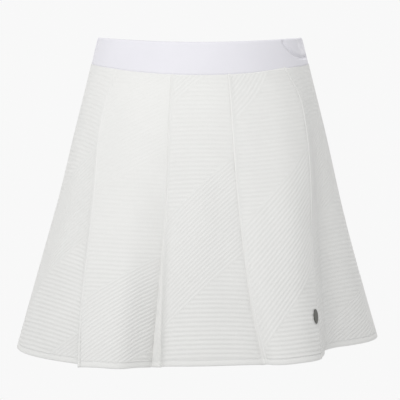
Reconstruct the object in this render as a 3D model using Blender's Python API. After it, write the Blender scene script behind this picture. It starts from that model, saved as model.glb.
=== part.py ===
"""Flared golf skirt, in the hollow form it keeps when it is worn.

Ten flared gores hang from a smooth contour waistband in two halves. Each gore is
cut flat, as a maker cuts it: a sector whose outer skin carries ribs, straight
across in some bands and slanting in others, over a plain inside. The flat gore is
then bent to the worn form, which is an oval that widens downwards and rises into
soft folds and sharp seam crests towards the hem.

Units are metres and degrees. +Z is up, -Y is the front, +X is the wearer's left.
The origin is the middle of the waist opening, level with its top edge.
"""

import math
from collections import namedtuple

import bmesh
import bpy
from mathutils import Vector

# Cloth and sewing
CLOTH_WALL = 0.0016
BAND_WALL = 0.0022
SEAM_GAP = 0.0003
SEAM_RIDGE = 0.0008
SEAM_MARGIN = 0.03
HEM_TURN_UP = 0.007
TOP_MARGIN = 0.004

# Ribs of the cloth. A slanted band's width is square to its ribs.
RIB_PITCH = 0.0052
RIB_HEIGHT = 0.0005
SLANTED_BAND = 0.099
LEVEL_BAND = 0.127

# The oval of the skirt at each depth below the waist
Level = namedtuple("Level", "depth half_width half_depth")
LEVELS = (
    Level(0.000, 0.1305, 0.100),
    Level(0.045, 0.1412, 0.110),
    Level(0.125, 0.1616, 0.127),
    Level(0.210, 0.1822, 0.143),
    Level(0.300, 0.2067, 0.159),
    Level(0.397, 0.2330, 0.176),
)

# Waistband edges: depth at the sides, and how much lower the middles lie
BAND_TOP_DIP = 0.0058
BAND_FOOT_AT_SIDE = 0.0338
BAND_FOOT_DIP = 0.0118
BAND_STEPS = 22
BAND_EDGE_ROUND = 0.0008

# Hem: depth at the middle, and how much lower it hangs for each metre to the right
HEM_DEPTH = 0.390
HEM_TILT = 0.026
SIDE_SEAM_LEAN = 3.0

# Where the front seams run: their angle round the oval at each share of the way down.
# The back seams are the same, half a turn round.
Seams = namedtuple("Seams", "down right_outer right_inner left_inner left_outer")
SEAMS = (
    Seams(0.0, -48.6, -14.4, 14.0, 48.5),
    Seams(0.1, -51.1, -14.2, 14.2, 54.6),
    Seams(0.2, -50.6, -14.0, 14.1, 53.6),
    Seams(0.4, -45.0, -13.4, 14.1, 48.4),
    Seams(0.6, -40.9, -13.3, 14.6, 42.8),
    Seams(0.8, -37.6, -13.2, 15.3, 38.7),
    Seams(1.0, -33.6, -12.7, 17.2, 35.7),
)

# Folds at the hem of each gore: share of the cloth's width, share of the angle that it
# has turned by there, and how far it stands out from the oval (in, where negative).
# The folds fade upwards. The solid bends along the shares in its bend_lines. slant is the
# slope of its slanted ribs, and slant_starts is how far down one such band starts.
Fold = namedtuple("Fold", "across turned stand_out")
FOLD_FADE = 1.5
GORES = {
    "gore_front_center": {
        "slant": 40.0,
        "slant_starts": 0.1345,
        "bend_lines": (0.35, 0.68),
        "folds": (
            Fold(0, 0, 0.016),
            Fold(0.35, 0.35, 0.0195),
            Fold(0.70, 0.70, 0.0215),
            Fold(0.90, 0.90, 0.024),
            Fold(1, 1, 0.027),
        ),
    },
    "gore_front_left": {
        "slant": 50.0,
        "slant_starts": 0.143,
        "bend_lines": (0.27, 0.62),
        "folds": (
            Fold(0, 0, 0.027),
            Fold(0.12, 0.12, 0.0335),
            Fold(0.27, 0.27, 0.0375),
            Fold(0.55, 0.55, 0.0368),
            Fold(0.78, 0.78, 0.0333),
            Fold(1, 1, 0.027),
        ),
    },
    "gore_side_front_left": {
        "slant": 25.0,
        "slant_starts": 0.305,
        "bend_lines": (0.236, 0.35, 0.50, 0.74),
        "folds": (
            Fold(0, 0, 0.027),
            Fold(0.12, 0.08, 0.008),
            Fold(0.236, 0.164, -0.011),
            Fold(0.35, 0.29, -0.0175),
            Fold(0.47, 0.41, -0.012),
            Fold(0.66, 0.61, -0.002),
            Fold(0.82, 0.80, 0.002),
            Fold(1, 1, 0),
        ),
    },
    "gore_side_back_left": {
        "slant": 36.0,
        "slant_starts": 0.137,
        "bend_lines": (0.27, 0.52, 0.77, 0.925),
        "folds": (
            Fold(0, 0, 0),
            Fold(0.35, 0.39, 0.007),
            Fold(0.72, 0.77, 0.014),
            Fold(0.92, 0.96, 0.022),
            Fold(1, 1, 0.036),
        ),
    },
    "gore_back_left": {
        "slant": 35.0,
        "slant_starts": 0.25,
        "bend_lines": (0.34, 0.68),
        "folds": (
            Fold(0, 0, 0.036),
            Fold(0.34, 0.34, 0.035),
            Fold(0.72, 0.72, 0.023),
            Fold(1, 1, 0.017),
        ),
    },
    "gore_back_center": {
        "slant": 41.0,
        "slant_starts": 0.13,
        "bend_lines": (0.33, 0.67),
        "folds": (
            Fold(0, 0, 0.017),
            Fold(0.33, 0.33, 0.0205),
            Fold(0.67, 0.67, 0.0195),
            Fold(1, 1, 0.024),
        ),
    },
    "gore_back_right": {
        "slant": 48.0,
        "slant_starts": 0.15,
        "bend_lines": (0.30, 0.66),
        "folds": (
            Fold(0, 0, 0.024),
            Fold(0.30, 0.30, 0.034),
            Fold(0.70, 0.70, 0.036),
            Fold(1, 1, 0.030),
        ),
    },
    "gore_side_back_right": {
        "slant": 28.0,
        "slant_starts": 0.296,
        "bend_lines": (0.21, 0.36, 0.56, 0.78),
        "folds": (
            Fold(0, 0, 0.030),
            Fold(0.11, 0.075, 0.012),
            Fold(0.21, 0.15, -0.004),
            Fold(0.36, 0.31, -0.012),
            Fold(0.60, 0.56, -0.003),
            Fold(1, 1, 0),
        ),
    },
    "gore_side_front_right": {
        "slant": 40.0,
        "slant_starts": 0.398,
        "bend_lines": (0.25, 0.50, 0.75, 0.925),
        "folds": (
            Fold(0, 0, 0),
            Fold(0.30, 0.35, 0.009),
            Fold(0.56, 0.62, 0.0125),
            Fold(0.78, 0.83, 0.017),
            Fold(0.925, 0.96, 0.0235),
            Fold(1, 1, 0.038),
        ),
    },
    "gore_front_right": {
        "slant": 33.0,
        "slant_starts": 0.2555,
        "bend_lines": (0.36, 0.68),
        "folds": (
            Fold(0, 0, 0.038),
            Fold(0.30, 0.30, 0.0356),
            Fold(0.50, 0.50, 0.037),
            Fold(0.64, 0.64, 0.034),
            Fold(0.85, 0.85, 0.021),
            Fold(1, 1, 0.016),
        ),
    },
}
GORE_NAMES = tuple(GORES)
# Each gore overlaps the next one outwards, so it ends in a raised, stitched edge there.
RAISED_EDGES = {
    "gore_front_center": (True, True),
    "gore_front_left": (False, True),
    "gore_side_front_left": (False, True),
    "gore_back_left": (True, False),
    "gore_side_back_left": (False, False),
    "gore_back_center": (True, True),
    "gore_back_right": (False, True),
    "gore_side_back_right": (False, False),
    "gore_side_front_right": (True, False),
    "gore_front_right": (True, False),
}
ROWS_DOWN = (0.0, 0.05, 0.1, 0.15, 0.2, 0.3, 0.4, 0.5, 0.6, 0.7, 0.8, 0.9, 1.0)

# Plain oval stud on the front left gore, beside its outer seam
STUD_WIDTH = 0.010
STUD_HEIGHT = 0.018
STUD_THICKNESS = 0.0012
STUD_ACROSS = 0.895
STUD_DOWN = 0.855
STUD_SIDES = 20

CUT_TOLERANCE = 1e-7
PROBE = 1e-4
WIDTH_STEPS = 40


def curve_at(rows, x):
    """Values of a table at x, along a smooth curve through its rows."""
    last = len(rows) - 1
    k = 0
    while k < last - 1 and x > rows[k + 1][0]:
        k += 1
    here, there = rows[k], rows[k + 1]
    before, after = rows[max(k - 1, 0)], rows[min(k + 2, last)]
    step = there[0] - here[0]
    s = (x - here[0]) / step
    values = []
    for c in range(1, len(here)):
        slope_here = (there[c] - before[c]) / (there[0] - before[0]) * step
        slope_there = (after[c] - here[c]) / (after[0] - here[0]) * step
        values.append((2 * s ** 3 - 3 * s ** 2 + 1) * here[c] + (s ** 3 - 2 * s ** 2 + s) * slope_here
                      + (3 * s ** 2 - 2 * s ** 3) * there[c] + (s ** 3 - s ** 2) * slope_there)
    return values


def span(stops, x):
    """The two stops on either side of x, and how far between them it lies."""
    k = 0
    while k < len(stops) - 2 and x > stops[k + 1]:
        k += 1
    return stops[k], stops[k + 1], (x - stops[k]) / (stops[k + 1] - stops[k])


def seam_angle(number, down):
    """Angle of one of the ten seams, counted from the front centre gore's right edge."""
    right_outer, right_inner, left_inner, left_outer = curve_at(SEAMS, down)
    lean = SIDE_SEAM_LEAN * down
    return (right_inner, left_inner, left_outer, 90 + lean, 180 + right_outer,
            180 + right_inner, 180 + left_inner, 180 + left_outer, 270 - lean,
            360 + right_outer, 360 + right_inner)[number]


def band_top(angle):
    return -BAND_TOP_DIP * math.cos(angle) ** 2


def band_foot(angle):
    return -BAND_FOOT_AT_SIDE - BAND_FOOT_DIP * math.cos(angle) ** 2


def oval_point(angle, z, stand_out=0.0):
    half_width, half_depth = curve_at(LEVELS, -z)
    return Vector(((half_width + stand_out) * math.sin(angle),
                   -(half_depth + stand_out) * math.cos(angle), z))


def gore_point(name, across, down):
    """Point of a gore's cloth at a share of its width and of its length."""
    number = GORE_NAMES.index(name)
    turned, stand_out = curve_at(GORES[name]["folds"], across)
    fade = max(down, 0.0) ** FOLD_FADE
    share = across + (turned - across) * fade
    start, end = seam_angle(number, down), seam_angle(number + 1, down)
    angle = math.radians(start + (end - start) * share)
    top = band_foot(angle) - SEAM_GAP
    half_width = LEVELS[-1][1]
    foot = -HEM_DEPTH + HEM_TILT * half_width * math.sin(angle)
    return oval_point(angle, top + (foot - top) * down, stand_out * fade)


def slope_normal(point_at, across, down):
    """Outward direction of a surface, from two short steps on it."""
    a0, a1 = max(across - PROBE, 0), min(across + PROBE, 1)
    d0, d1 = max(down - PROBE, 0), min(down + PROBE, 1)
    along = point_at(a1, down) - point_at(a0, down)
    upward = point_at(across, d0) - point_at(across, d1)
    return along.cross(upward).normalized()


def gore_normal(name, across, down):
    """Outward direction of a gore. Along a seam both gores share one direction."""
    def own(a, d):
        return gore_point(name, a, d)

    normal = slope_normal(own, across, down)
    if 0 < across < 1:
        return normal
    number = GORE_NAMES.index(name) + (1 if across == 1 else -1)
    neighbour = GORE_NAMES[number % len(GORE_NAMES)]

    def other(a, d):
        return gore_point(neighbour, a, d)

    return (normal + slope_normal(other, 1 - across, down)).normalized()


class FlatGore:
    """The cut piece: a sector, in x across, -y down from the waist and z out."""

    def __init__(self, name):
        self.name = name
        self.bend_lines = (0, *GORES[name]["bend_lines"], 1)
        self.waist_width = self.width_at(0)
        self.hem_width = self.width_at(1)
        self.length = sum((gore_point(name, 0.5, b) - gore_point(name, 0.5, a)).length
                          for a, b in zip(ROWS_DOWN, ROWS_DOWN[1:]))
        self.half_angle = (self.hem_width - self.waist_width) / self.length / 2
        self.radius = self.waist_width / 2 / self.half_angle
        self.corners = {}

    def width_at(self, down):
        points = [gore_point(self.name, k / WIDTH_STEPS, down) for k in range(WIDTH_STEPS + 1)]
        return sum((b - a).length for a, b in zip(points, points[1:]))

    def place(self, across, down):
        """Where a share of the width and of the length lies on the flat piece."""
        reach = self.radius + self.length * down
        turn = self.half_angle * (2 * across - 1)
        return Vector((reach * math.sin(turn), self.radius - reach * math.cos(turn), 0))

    def shares(self, point):
        """The reverse of place."""
        reach = math.hypot(point.x, self.radius - point.y)
        turn = math.atan2(point.x, self.radius - point.y)
        across = (turn / self.half_angle + 1) / 2
        down = (reach - self.radius) / self.length
        return min(max(across, 0), 1), min(max(down, 0), 1)

    def corner(self, across, down):
        """A worn point and its outward direction, clear of the next gore at a seam."""
        if (across, down) not in self.corners:
            point = gore_point(self.name, across, down)
            if across in (0, 1):
                inwards = gore_point(self.name, abs(across - PROBE), down) - point
                point += inwards.normalized() * SEAM_GAP / 2
            self.corners[across, down] = point, gore_normal(self.name, across, down)
        return self.corners[across, down]

    def bend(self, point, out):
        """Worn place of a flat point: between the bend lines and rows the cloth is straight."""
        across, down = self.shares(point)
        left, right, along = span(self.bend_lines, across)
        upper, lower, below = span(ROWS_DOWN, down)
        bent = Vector()
        for a, share_a in ((left, 1 - along), (right, along)):
            for d, share_d in ((upper, 1 - below), (lower, below)):
                place, normal = self.corner(a, d)
                bent += (place + normal * out) * share_a * share_d
        return bent


def rib_wave(distance):
    """Height of a rib, from 0 in a groove to RIB_HEIGHT on its crest."""
    phase = (distance / RIB_PITCH) % 1
    return RIB_HEIGHT * (1 - abs(2 * phase - 1))


def slanted_distance(point, start, slant):
    """Distance below the upper edge of a slanted band, square to its ribs."""
    return (-point.y - start) * math.cos(slant) + point.x * math.sin(slant)


def slanted_bands(name):
    """Upper edges, at a gore's middle, of all the slanted bands that it may reach."""
    period = SLANTED_BAND / math.cos(math.radians(GORES[name]["slant"])) + LEVEL_BAND
    return [GORES[name]["slant_starts"] + k * period for k in (-1, 0, 1)]


def band_of(point, starts, slant):
    """The slanted band that a point lies in, or None among the level ribs."""
    for start in starts:
        if 0 < slanted_distance(point, start, slant) < SLANTED_BAND:
            return start
    return None


def cut_line(bm, faces, point, normal):
    """Cut some faces along a straight line. Returns all the faces that they became."""
    geometry = list({item for f in faces for item in (f, *f.edges, *f.verts)})
    cut = bmesh.ops.bisect_plane(bm, geom=geometry, dist=CUT_TOLERANCE, plane_co=point,
                                 plane_no=normal)
    return [item for item in cut["geom"] if isinstance(item, bmesh.types.BMFace)]


def gore_slab(flat, columns, rows):
    """Flat slab of cloth with its grid lines. Its top faces are returned apart."""
    bm = bmesh.new()
    bmesh.ops.create_grid(bm, x_segments=len(columns) - 1, y_segments=len(rows) - 1, size=0.5)
    bm.verts.ensure_lookup_table()
    for vert in bm.verts:
        column = round((vert.co.x + 0.5) * (len(columns) - 1))
        row = round((0.5 - vert.co.y) * (len(rows) - 1))
        vert.co = flat.place(columns[column], rows[row])
    outer = set(bm.faces)
    grown = bmesh.ops.extrude_face_region(bm, geom=list(bm.faces), use_keep_orig=True)
    inner = {f for f in grown["geom"] if isinstance(f, bmesh.types.BMFace)}
    for vert in {v for f in inner for v in f.verts}:
        vert.co.z = -CLOTH_WALL
    bmesh.ops.recalc_face_normals(bm, faces=list(bm.faces))
    return bm, outer


def open_up_rib_field(bm, outer, flat, columns, first_row, last_row):
    """Merge the outer faces between the margins into one long face for each column."""
    low_x, high_x = columns[1], columns[-2]
    loose = set()
    for face in outer:
        for edge in face.edges:
            if not all(f in outer for f in edge.link_faces):
                continue
            (a0, d0), (a1, d1) = (flat.shares(v.co) for v in edge.verts)
            level = abs(d1 - d0) < CUT_TOLERANCE * 10 and abs(a1 - a0) > CUT_TOLERANCE * 10
            if level and first_row + PROBE < d0 < last_row - PROBE:
                loose.add(edge)
    bmesh.ops.dissolve_edges(bm, edges=list(loose), use_verts=True)
    field = []
    for face in bm.faces:
        if any(abs(v.co.z) > CUT_TOLERANCE for v in face.verts):
            continue
        across, down = flat.shares(face.calc_center_median())
        if low_x < across < high_x and first_row < down < last_row:
            field.append(face)
    return field


def cut_ribs(bm, field, flat, slant):
    """Cut the rib field along each crest and each groove."""
    starts = slanted_bands(flat.name)
    across_ribs = Vector((math.sin(slant), -math.cos(slant), 0))
    half_pitch = RIB_PITCH / 2
    for start in starts:
        for distance in (0, SLANTED_BAND):
            field = cut_line(bm, field, Vector((0, -start, 0)) + across_ribs * distance, across_ribs)
    slanted = {start: [] for start in starts}
    level = []
    for face in field:
        start = band_of(face.calc_center_median(), starts, slant)
        (level if start is None else slanted[start]).append(face)
    for k in range(1, int(2 * flat.length / half_pitch)):
        level = cut_line(bm, level, Vector((0, -k * half_pitch, 0)), Vector((0, 1, 0)))
    for start in starts:
        faces = slanted[start]
        for k in range(1, round(SLANTED_BAND / half_pitch)):
            point = Vector((0, -start, 0)) + across_ribs * (k * half_pitch)
            faces = cut_line(bm, faces, point, across_ribs)
        slanted[start] = faces
    return level, slanted


def rib_heights(level, slanted, slant):
    """How far each point of the rib field stands out."""
    heights = {}
    for start, faces in slanted.items():
        for vert in {v for f in faces for v in f.verts}:
            heights[vert] = rib_wave(slanted_distance(vert.co, start, slant))
    for vert in {v for f in level for v in f.verts}:
        heights[vert] = rib_wave(-vert.co.y)
    return heights


def make_gore(name):
    flat = FlatGore(name)
    columns = [0, SEAM_MARGIN, *GORES[name]["bend_lines"], 1 - SEAM_MARGIN, 1]
    first_row = TOP_MARGIN / flat.length
    last_row = 1 - HEM_TURN_UP / flat.length
    bm, outer = gore_slab(flat, columns, sorted({*ROWS_DOWN, first_row, last_row}))
    field = open_up_rib_field(bm, outer, flat, columns, first_row, last_row)
    slant = math.radians(GORES[name]["slant"])
    level, slanted = cut_ribs(bm, field, flat, slant)
    heights = rib_heights(level, slanted, slant)
    bmesh.ops.triangulate(bm, faces=list(bm.faces))
    start_raised, end_raised = RAISED_EDGES[name]
    for vert in bm.verts:
        across, down = flat.shares(vert.co)
        out = vert.co.z + heights.get(vert, 0)
        on_raised_edge = (start_raised and across < PROBE) or (end_raised and across > 1 - PROBE)
        if on_raised_edge and vert.co.z > -CUT_TOLERANCE:
            out += SEAM_RIDGE
        vert.co = flat.bend(vert.co, out)
    return finish_piece(bm, name, RIBBED_CLOTH)


def make_band(name, start):
    """One half of the waistband: a slab with rounded edges along its top fold."""
    gap = SEAM_GAP / 2 / LEVELS[0][1]

    def band_point(across, down):
        angle = math.radians(start) + gap + (math.pi - 2 * gap) * across
        top, foot = band_top(angle), band_foot(angle)
        return oval_point(angle, top + (foot - top) * down)

    bm = bmesh.new()
    rows = 3
    bmesh.ops.create_grid(bm, x_segments=BAND_STEPS, y_segments=rows, size=0.5)
    length = math.pi * LEVELS[0][1]
    height = BAND_FOOT_AT_SIDE
    for vert in bm.verts:
        vert.co = Vector((vert.co.x * length, (vert.co.y - 0.5) * height, 0))
    grown = bmesh.ops.extrude_face_region(bm, geom=list(bm.faces), use_keep_orig=True)
    for item in grown["geom"]:
        if isinstance(item, bmesh.types.BMVert):
            item.co.z = -BAND_WALL
    bmesh.ops.recalc_face_normals(bm, faces=list(bm.faces))
    fold = [e for e in bm.edges if all(v.co.y > -CUT_TOLERANCE for v in e.verts)
            and abs(e.verts[0].co.z - e.verts[1].co.z) < CUT_TOLERANCE]
    bmesh.ops.bevel(bm, geom=fold, affect="EDGES", offset=BAND_EDGE_ROUND, segments=1,
                    profile=0.5, material=-1)
    for vert in bm.verts:
        across = min(max(vert.co.x / length + 0.5, 0), 1)
        down = min(max(-vert.co.y / height, 0), 1)
        vert.co = band_point(across, down) + slope_normal(band_point, across, down) * vert.co.z
    return finish_piece(bm, name, SMOOTH_BAND)


def make_stud():
    """Plain oval stud that follows the cloth below it."""
    name = "gore_front_left"
    flat = FlatGore(name)
    centre = flat.place(STUD_ACROSS, STUD_DOWN)
    bm = bmesh.new()
    bmesh.ops.create_circle(bm, cap_ends=True, radius=0.5, segments=STUD_SIDES)
    grown = bmesh.ops.extrude_face_region(bm, geom=list(bm.faces), use_keep_orig=True)
    top = [item for item in grown["geom"] if isinstance(item, bmesh.types.BMVert)]
    for vert in top:
        vert.co.z = 1
    bmesh.ops.recalc_face_normals(bm, faces=list(bm.faces))
    rim = [e for e in bm.edges if all(v in top for v in e.verts)]
    bmesh.ops.bevel(bm, geom=rim, affect="EDGES", offset=0.06, segments=1, profile=0.5, material=-1)
    bmesh.ops.triangulate(bm, faces=list(bm.faces))
    seat = RIB_HEIGHT + SEAM_GAP
    for vert in bm.verts:
        spot = centre + Vector((vert.co.x * STUD_WIDTH, vert.co.y * STUD_HEIGHT, 0))
        vert.co = flat.bend(spot, seat + vert.co.z * STUD_THICKNESS)
    return finish_piece(bm, "hem_stud", STUD_METAL)


def material(name, colour, roughness, metallic=0.0):
    made = bpy.data.materials.new(name)
    made.use_nodes = True
    shader = made.node_tree.nodes["Principled BSDF"]
    shader.inputs["Base Color"].default_value = (*colour, 1)
    shader.inputs["Roughness"].default_value = roughness
    shader.inputs["Metallic"].default_value = metallic
    return made


def finish_piece(bm, name, finish):
    mesh = bpy.data.meshes.new(name)
    bm.to_mesh(mesh)
    bm.free()
    mesh.materials.append(finish)
    piece = bpy.data.objects.new(name, mesh)
    SKIRT.objects.link(piece)
    return piece


for leftover in list(bpy.data.objects):
    bpy.data.objects.remove(leftover, do_unlink=True)
SKIRT = bpy.data.collections.new("flared_golf_skirt")
bpy.context.scene.collection.children.link(SKIRT)
RIBBED_CLOTH = material("ribbed_white_knit", (0.80, 0.80, 0.785), 0.75)
SMOOTH_BAND = material("smooth_white_band", (0.82, 0.81, 0.85), 0.6)
STUD_METAL = material("dark_gunmetal", (0.10, 0.10, 0.095), 0.4, 1.0)

make_band("waistband_front", -90)
make_band("waistband_back", 90)
for gore_name in GORE_NAMES:
    make_gore(gore_name)
make_stud()
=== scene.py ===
"""Looks of a flared golf skirt, built as it is worn.

Each gore is cut flat with its raised ribs, as a maker would cut it, and is then
bent to the worn form: an oval that widens downwards and rises into soft folds and
lapped seam edges towards the hem. A smooth waistband, the stitching and a plain
stud are laid on the same form.

Units are metres and degrees. +Z is up, -Y is the front, +X is the wearer's left.
"""

import math
from collections import namedtuple
from functools import lru_cache

import bmesh
import bpy
import numpy as np
from bpy.props import FloatProperty, FloatVectorProperty, IntProperty, PointerProperty
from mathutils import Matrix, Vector


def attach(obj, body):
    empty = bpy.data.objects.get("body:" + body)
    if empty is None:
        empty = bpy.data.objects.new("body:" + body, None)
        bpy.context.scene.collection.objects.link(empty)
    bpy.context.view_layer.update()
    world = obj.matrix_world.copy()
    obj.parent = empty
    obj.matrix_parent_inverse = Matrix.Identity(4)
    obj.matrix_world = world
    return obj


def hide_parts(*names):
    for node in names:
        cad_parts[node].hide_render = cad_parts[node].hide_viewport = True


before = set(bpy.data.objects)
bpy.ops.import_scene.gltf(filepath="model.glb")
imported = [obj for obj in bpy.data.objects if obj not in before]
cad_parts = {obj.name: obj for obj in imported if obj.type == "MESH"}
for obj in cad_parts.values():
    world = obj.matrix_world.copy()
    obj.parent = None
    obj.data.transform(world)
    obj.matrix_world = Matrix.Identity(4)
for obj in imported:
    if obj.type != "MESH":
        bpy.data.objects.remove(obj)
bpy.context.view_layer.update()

bl_info = {
    "name": "Flared Golf Skirt",
    "version": (1, 0, 0),
    "blender": (4, 5, 0),
    "location": "View3D > Sidebar > Skirt",
    "description": "Sews a ribbed, flared golf skirt of ten gores on a smooth waistband",
    "category": "Add Mesh",
}

# The worn form, with the same sizes as the solids ------------------------------------

# The oval of the skirt at each depth below the waist
Level = namedtuple("Level", "depth half_width half_depth")
LEVELS = (
    Level(0.000, 0.1305, 0.100),
    Level(0.045, 0.1412, 0.110),
    Level(0.125, 0.1616, 0.127),
    Level(0.210, 0.1822, 0.143),
    Level(0.300, 0.2067, 0.159),
    Level(0.397, 0.2330, 0.176),
)
BAND_TOP_DIP = 0.0058
BAND_FOOT_AT_SIDE = 0.0338
BAND_FOOT_DIP = 0.0118
HEM_DEPTH = 0.390
HEM_TILT = 0.026
SIDE_SEAM_LEAN = 3.0
SEAM_GAP = 0.0003

# Where the front seams run: their angle round the oval at each share of the way down.
# The back seams are the same, half a turn round.
Seams = namedtuple("Seams", "down right_outer right_inner left_inner left_outer")
SEAMS = (
    Seams(0.0, -48.6, -14.4, 14.0, 48.5),
    Seams(0.1, -51.1, -14.2, 14.2, 54.6),
    Seams(0.2, -50.6, -14.0, 14.1, 53.6),
    Seams(0.4, -45.0, -13.4, 14.1, 48.4),
    Seams(0.6, -40.9, -13.3, 14.6, 42.8),
    Seams(0.8, -37.6, -13.2, 15.3, 38.7),
    Seams(1.0, -33.6, -12.7, 17.2, 35.7),
)

# Folds at the hem of each gore: share of the cloth's width, share of the angle that it
# has turned by there, and how far it stands out from the oval (in, where negative).
# The folds fade upwards. laps says which of its two edges lies over the next gore, slant
# is the slope of its slanted ribs, and slant_starts how far down one such band starts.
Fold = namedtuple("Fold", "across turned stand_out")
Gore = namedtuple("Gore", "slant slant_starts laps folds")
FOLD_FADE = 1.5


def even_folds(*rows):
    """Folds of a gore whose cloth turns evenly: share of the width, and stand-out."""
    return tuple(Fold(across, across, stand_out) for across, stand_out in rows)


GORES = {
    "gore_front_center": Gore(40.0, 0.1345, (True, False), even_folds(
        (0, 0.016), (0.35, 0.0195), (0.70, 0.0215), (0.90, 0.024), (1, 0.027))),
    "gore_front_left": Gore(50.0, 0.143, (True, False), even_folds(
        (0, 0.027), (0.12, 0.0335), (0.27, 0.0375), (0.55, 0.0368), (0.78, 0.0333), (1, 0.027))),
    "gore_side_front_left": Gore(25.0, 0.305, (True, True), (
        Fold(0, 0, 0.027), Fold(0.12, 0.08, 0.008), Fold(0.236, 0.164, -0.011),
        Fold(0.35, 0.29, -0.0175), Fold(0.47, 0.41, -0.012), Fold(0.66, 0.61, -0.002),
        Fold(0.82, 0.80, 0.002), Fold(1, 1, 0))),
    "gore_side_back_left": Gore(36.0, 0.137, (False, False), (
        Fold(0, 0, 0), Fold(0.35, 0.39, 0.007), Fold(0.72, 0.77, 0.014),
        Fold(0.92, 0.96, 0.022), Fold(1, 1, 0.036))),
    "gore_back_left": Gore(35.0, 0.25, (True, False), even_folds(
        (0, 0.036), (0.34, 0.035), (0.72, 0.023), (1, 0.017))),
    "gore_back_center": Gore(41.0, 0.13, (True, True), even_folds(
        (0, 0.017), (0.33, 0.0205), (0.67, 0.0195), (1, 0.024))),
    "gore_back_right": Gore(48.0, 0.15, (False, True), even_folds(
        (0, 0.024), (0.30, 0.034), (0.70, 0.036), (1, 0.030))),
    "gore_side_back_right": Gore(28.0, 0.296, (False, False), (
        Fold(0, 0, 0.030), Fold(0.11, 0.075, 0.012), Fold(0.21, 0.15, -0.004),
        Fold(0.36, 0.31, -0.012), Fold(0.60, 0.56, -0.003), Fold(1, 1, 0))),
    "gore_side_front_right": Gore(40.0, 0.398, (True, False), (
        Fold(0, 0, 0), Fold(0.30, 0.35, 0.009), Fold(0.56, 0.62, 0.0125),
        Fold(0.78, 0.83, 0.017), Fold(0.925, 0.96, 0.0235), Fold(1, 1, 0.038))),
    "gore_front_right": Gore(33.0, 0.2555, (True, False), even_folds(
        (0, 0.038), (0.30, 0.0356), (0.50, 0.037), (0.64, 0.034), (0.85, 0.021), (1, 0.016))),
}
GORE_NAMES = tuple(GORES)
SLANTED_BAND = 0.099
LEVEL_BAND = 0.127
CLOTH_WALL = 0.0015
# Shares of the length from which and to which a gore's flattened ribs grow full again
PULLED_FLAT = {"gore_front_right": (0.40, 0.85), "gore_back_left": (0.20, 0.55)}

# Cloth detail ------------------------------------------------------------------------

COLUMN_WIDTH = 0.0042
ROW_HEIGHT = 0.006
CUTS_PER_RIB = 6
# Powers that shape a rib's crest and the fading of the waist's stretch
CREST_POWER = 0.8
STRETCH_POWER = 0.6
# Share of its height that a rib loses where its gore is pulled flat
PULLED_SHARE = 0.6
# Heights of a gore's outer and inner face at each distance in from one of its edges.
# A tucked edge runs on under the next gore's lapped edge, and the top under the waistband.
Stop = namedtuple("Stop", "distance outer inner")
LAPPED_EDGE = (
    Stop(0.0000, 0.0001, -0.0003),
    Stop(0.0004, 0.0005, -0.0003),
    Stop(0.0010, 0.0009, -0.0003),
    Stop(0.0015, 0.0009, -0.0003),
    Stop(0.0020, 0.0004, -0.0005),
    Stop(0.0026, 0.0005, -0.0009),
    Stop(0.0034, 0.0000, -0.0013),
)
TUCKED_EDGE = (
    Stop(-0.0024, -0.0010, -0.0016),
    Stop(-0.0010, -0.0007, -0.0017),
    Stop(-0.0002, -0.0005, -0.0018),
    Stop(0.0003, 0.0000, -0.0018),
    Stop(0.0011, 0.0001, -0.0015),
)
TOP_EDGE = (
    Stop(-0.0030, -0.0010, -0.0017),
    Stop(-0.0006, -0.0006, -0.0017),
    Stop(-0.0002, -0.00005, -0.0016),
    Stop(0.0003, 0.0001, -0.0015),
)
HEM_EDGE = (
    Stop(0.0000, -0.0007, -0.0012),
    Stop(0.0004, 0.0001, -0.0022),
    Stop(0.0012, 0.0004, -0.0027),
    Stop(0.0056, 0.0004, -0.0027),
    Stop(0.0064, -0.0002, -0.0026),
    Stop(0.0070, -0.0003, -0.0024),
    Stop(0.0078, 0.0000, -0.0015),
)
STITCH_STEPS = 6
THREAD_SIDES = 5
# How far a thread dives between stitches and rises on them, in thread thicknesses
THREAD_DIVE = 0.8
THREAD_RISE = 1.1
# Points that a gore's widths and its length are measured through, and rows of its cut
WIDTH_POINTS = 61
LENGTH_POINTS = 41
CUT_ROWS = 31
# Step in shares of a gore that slopes are read over, and the tolerance of cuts in metres
PROBE = 1e-4
SNAP = 1e-7


def curve_values(rows, x):
    """Columns of a table at the places x, along smooth curves through its rows."""
    table = np.array(rows, float)
    stops, values = table[:, 0], table[:, 1:]
    slopes = np.empty_like(values)
    slopes[1:-1] = (values[2:] - values[:-2]) / (stops[2:] - stops[:-2])[:, None]
    slopes[0] = (values[1] - values[0]) / (stops[1] - stops[0])
    slopes[-1] = (values[-1] - values[-2]) / (stops[-1] - stops[-2])
    x = np.asarray(x, float)
    k = np.clip(np.searchsorted(stops, x, side="right") - 1, 0, len(stops) - 2)
    step = (stops[k + 1] - stops[k])[:, None]
    s = (x[:, None] - stops[k][:, None]) / step
    blended = ((2 * s ** 3 - 3 * s ** 2 + 1) * values[k] + (s ** 3 - 2 * s ** 2 + s) * slopes[k] * step
               + (3 * s ** 2 - 2 * s ** 3) * values[k + 1] + (s ** 3 - s ** 2) * slopes[k + 1] * step)
    return blended.T


def line_length(places):
    return float(np.linalg.norm(np.diff(places, axis=0), axis=1).sum())


def smooth_step(low, high, x):
    s = np.clip((x - low) / (high - low), 0, 1)
    return s * s * (3 - 2 * s)


def oval_points(angle, z, stand_out):
    half_width, half_depth = curve_values(LEVELS, -z)
    return np.stack(((half_width + stand_out) * np.sin(angle),
                     -(half_depth + stand_out) * np.cos(angle), z), axis=1)


def band_top(angle):
    return -BAND_TOP_DIP * np.cos(angle) ** 2


def band_foot(angle):
    return -BAND_FOOT_AT_SIDE - BAND_FOOT_DIP * np.cos(angle) ** 2


def neighbour(name, step):
    """The gore that follows another one round the skirt, or comes before it (-1)."""
    return GORE_NAMES[(GORE_NAMES.index(name) + step) % len(GORE_NAMES)]


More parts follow.
